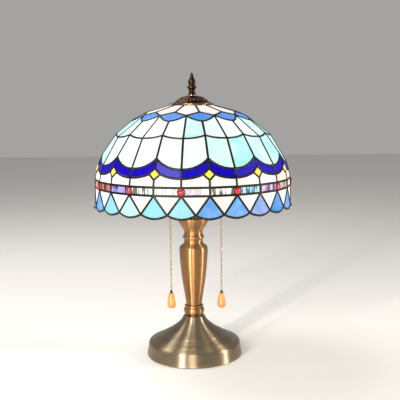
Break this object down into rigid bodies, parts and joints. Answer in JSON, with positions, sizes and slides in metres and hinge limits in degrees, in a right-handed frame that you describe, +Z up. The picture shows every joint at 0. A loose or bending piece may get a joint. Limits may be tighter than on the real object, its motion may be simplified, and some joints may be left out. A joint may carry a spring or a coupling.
{
  "type": "leaded glass table lamp",
  "caption": "Table lamp with a domed leaded-glass shade of scalloped colour bands, a turned metal column on a bell base, and pull-chain sockets under the shade.",
  "frame": {"origin": "centre of the base's resting face", "axes": "+Z up along the column; +X from the left socket to the right one, as seen from the front; the front is -Y"},
  "size_m": [0.4038, 0.4038, 0.5813],
  "materials": {
    "bronze": "circular-brushed antique bronze, satin",
    "copper": "brushed antique copper plate, satin",
    "dark_bronze": "dark oil-rubbed bronze, semi-gloss",
    "brass": "plain machined brass, satin",
    "chain": "rolled ball chain, slightly tarnished",
    "steel": "zinc-plated steel",
    "iron": "rough as cast",
    "lead": "lead solder with a dark patina, uneven",
    "rubber": "matt black",
    "felt": "dense felt",
    "wood": "amber lacquered",
    "porcelain": "glazed insulator",
    "frosted": "inside-frosted bulb",
    "cream_glass": "warm cream opalescent sheet",
    "aqua_glass": "pale aqua opalescent sheet",
    "sky_glass": "sky-blue opalescent sheet",
    "cobalt_glass": "cobalt cathedral sheet",
    "ripple_glass": "rippled clear and streaky sheet",
    "amber_glass": "faceted amber glass, used on the diamonds of the finished model",
    "ruby_glass": "pressed ruby glass, used on the cabochons of the finished model"
  },
  "bodies": {
    "stand": {"base_shell": "bronze", "cord_bushing": "rubber", "ballast_weight": "iron", "base_pad": "felt", "base_washer": "steel", "base_nut": "steel", "threaded_rod": "brass", "lower_collar": "copper", "column_body": "copper", "neck_ring": "copper", "top_cup": "copper", "cluster_body": "brass", "cluster_nut": "brass", "seat_nut": "brass", "shade_seat": "brass", "socket_arm_left": "brass", "socket_cap_left": "brass", "socket_shell_left": "brass", "socket_liner_left": "porcelain", "chain_outlet_left": "brass", "socket_arm_right": "brass", "socket_cap_right": "brass", "socket_shell_right": "brass", "socket_liner_right": "porcelain", "chain_outlet_right": "brass"},
    "shade": {"crown_glass_row": "sky_glass", "upper_panel_row": "aqua_glass", "lower_panel_row": "aqua_glass", "cobalt_scallop_row": "cobalt_glass", "cream_panel_row": "cream_glass", "ripple_bar_row": "ripple_glass", "fan_fringe_row": "sky_glass", "lead_lattice": "lead", "crown_ring": "brass", "vase_cap": "dark_bronze"},
    "finial_carrier": {"finial_washer": "brass"},
    "finial_body": {"finial": "dark_bronze"},
    "bulb_left": {"bulb_base_left": "steel", "bulb_glass_left": "frosted"},
    "switch_left": {"switch_drum_left": "steel"},
    "chain_end_left": {"chain_top_left": "chain"},
    "chain_joint_left": {"chain_link_left": "chain"},
    "pull_left": {"pull_chain_left": "chain", "pull_knob_left": "wood"},
    "bulb_right": {"bulb_base_right": "steel", "bulb_glass_right": "frosted"},
    "switch_right": {"switch_drum_right": "steel"},
    "chain_end_right": {"chain_top_right": "chain"},
    "chain_joint_right": {"chain_link_right": "chain"},
    "pull_right": {"pull_chain_right": "chain", "pull_knob_right": "wood"}
  },
  "joints": [
    {"name": "shade_lift", "type": "slide", "parent": "stand", "child": "shade", "axis": [0, 0, 1], "range_m": [0, 0.27]},
    {"name": "finial_rise", "type": "slide", "parent": "shade", "child": "finial_carrier", "axis": [0, 0, 1], "range_m": [0, 0.01]},
    {"name": "finial_turn", "type": "hinge", "parent": "finial_carrier", "child": "finial_body", "pos_m": [0, 0, 0.545], "axis": [0, 0, 1], "range_deg": [0, 3600]},
    {"name": "left_bulb_out", "type": "slide", "parent": "stand", "child": "bulb_left", "axis": [-0.8027, -0.1633, 0.5736], "range_m": [0, 0.028]},
    {"name": "left_chain_pull", "type": "slide", "parent": "stand", "child": "chain_end_left", "axis": [0, 0, -1], "range_m": [0, 0.01], "stiffness_N_per_m": 100, "springref_m": -0.01},
    {"name": "left_switch_turn", "type": "hinge", "parent": "stand", "child": "switch_left", "pos_m": [-0.05141, -0.01046, 0.32381], "axis": [-0.5621, -0.1144, -0.8192], "range_deg": [0, 69]},
    {"name": "left_chain_fore_aft", "type": "hinge", "parent": "chain_end_left", "child": "chain_joint_left", "pos_m": [-0.04583, -0.0379, 0.30761], "axis": [1, 0, 0], "range_deg": [-30, 30]},
    {"name": "left_chain_sideways", "type": "hinge", "parent": "chain_joint_left", "child": "pull_left", "pos_m": [-0.04583, -0.0379, 0.30761], "axis": [0, 1, 0], "range_deg": [-7, 35]},
    {"name": "right_bulb_out", "type": "slide", "parent": "stand", "child": "bulb_right", "axis": [0.8027, 0.1633, 0.5736], "range_m": [0, 0.028]},
    {"name": "right_chain_pull", "type": "slide", "parent": "stand", "child": "chain_end_right", "axis": [0, 0, -1], "range_m": [0, 0.01], "stiffness_N_per_m": 100, "springref_m": -0.01},
    {"name": "right_switch_turn", "type": "hinge", "parent": "stand", "child": "switch_right", "pos_m": [0.05141, 0.01046, 0.32381], "axis": [0.5621, 0.1144, -0.8192], "range_deg": [0, 69]},
    {"name": "right_chain_fore_aft", "type": "hinge", "parent": "chain_end_right", "child": "chain_joint_right", "pos_m": [0.05699, -0.01698, 0.30761], "axis": [1, 0, 0], "range_deg": [-30, 30]},
    {"name": "right_chain_sideways", "type": "hinge", "parent": "chain_joint_right", "child": "pull_right", "pos_m": [0.05699, -0.01698, 0.30761], "axis": [0, 1, 0], "range_deg": [-35, 7]}
  ],
  "couplings": [
    {"joint": "finial_turn", "follows": "finial_rise", "rad_per_m": 6283.2},
    {"joint": "left_switch_turn", "follows": "left_chain_pull", "rad_per_m": 120},
    {"joint": "right_switch_turn", "follows": "right_chain_pull", "rad_per_m": 120}
  ]
}
